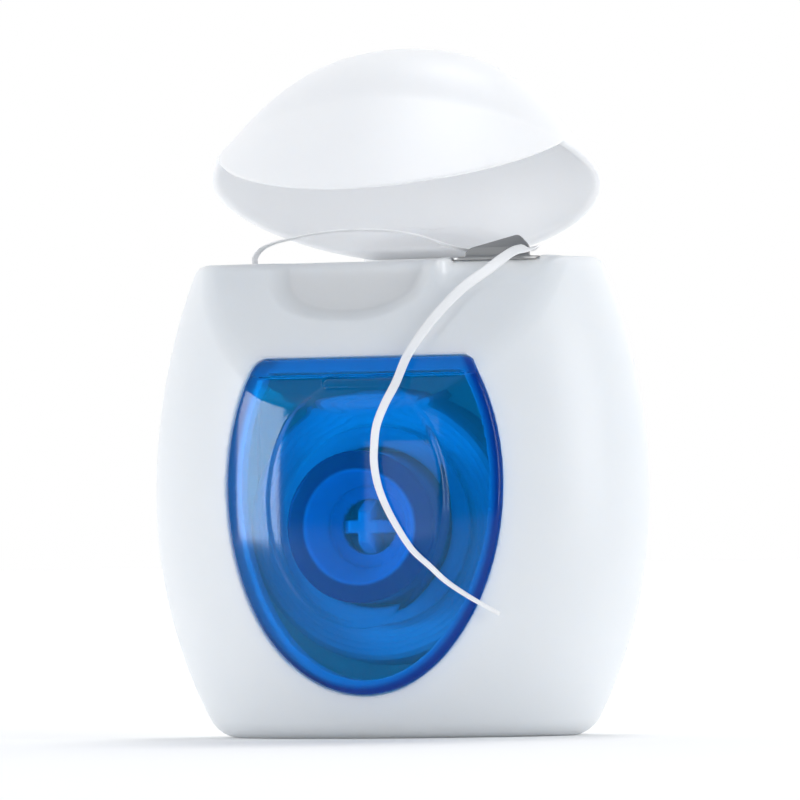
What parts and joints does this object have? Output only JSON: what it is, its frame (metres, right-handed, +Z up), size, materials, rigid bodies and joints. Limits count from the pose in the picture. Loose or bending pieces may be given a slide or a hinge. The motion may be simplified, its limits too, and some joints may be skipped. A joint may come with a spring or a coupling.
{
  "type": "dental floss dispenser",
  "caption": "Rounded white pocket dispenser for dental floss, with an open flip lid, a blue window in front, a steel cutter and a loose floss end.",
  "frame": {"origin": "centre of the flat base that the dispenser stands on", "axes": "+Z up, -Y out of the face with the window, +X to the right when looking at that face"},
  "size_m": [0.048, 0.0318, 0.0646],
  "materials": {
    "case_white": "satin",
    "cover_white": "satin",
    "lid_white": "satin",
    "hinge_white": "satin",
    "window_blue": "clear tinted, polished",
    "core_white": "plain",
    "floss_white": "waxed",
    "cutter_steel": "stamped"
  },
  "bodies": {
    "case": {"front_case": "case_white", "rear_cover": "cover_white", "window_insert": "window_blue", "floss_cutter": "cutter_steel", "living_hinge": "hinge_white", "floss_feed": "floss_white", "floss_arch": "floss_white", "floss_tail": "floss_white"},
    "lid": {"flip_lid": "lid_white"},
    "spool": {"spool_core": "core_white", "floss_winding": "floss_white"}
  },
  "joints": [
    {"name": "lid_hinge", "type": "hinge", "parent": "case", "child": "lid", "pos_m": [0, 0.0112, 0.0449], "axis": [-1, 0, 0], "range_deg": [-39.9, 65], "deforming": ["living_hinge", "floss_tail"]},
    {"name": "spool_spin", "type": "hinge", "parent": "case", "child": "spool", "pos_m": [0, -0.00265, 0.0196], "axis": [0, 1, 0], "continuous": true}
  ]
}
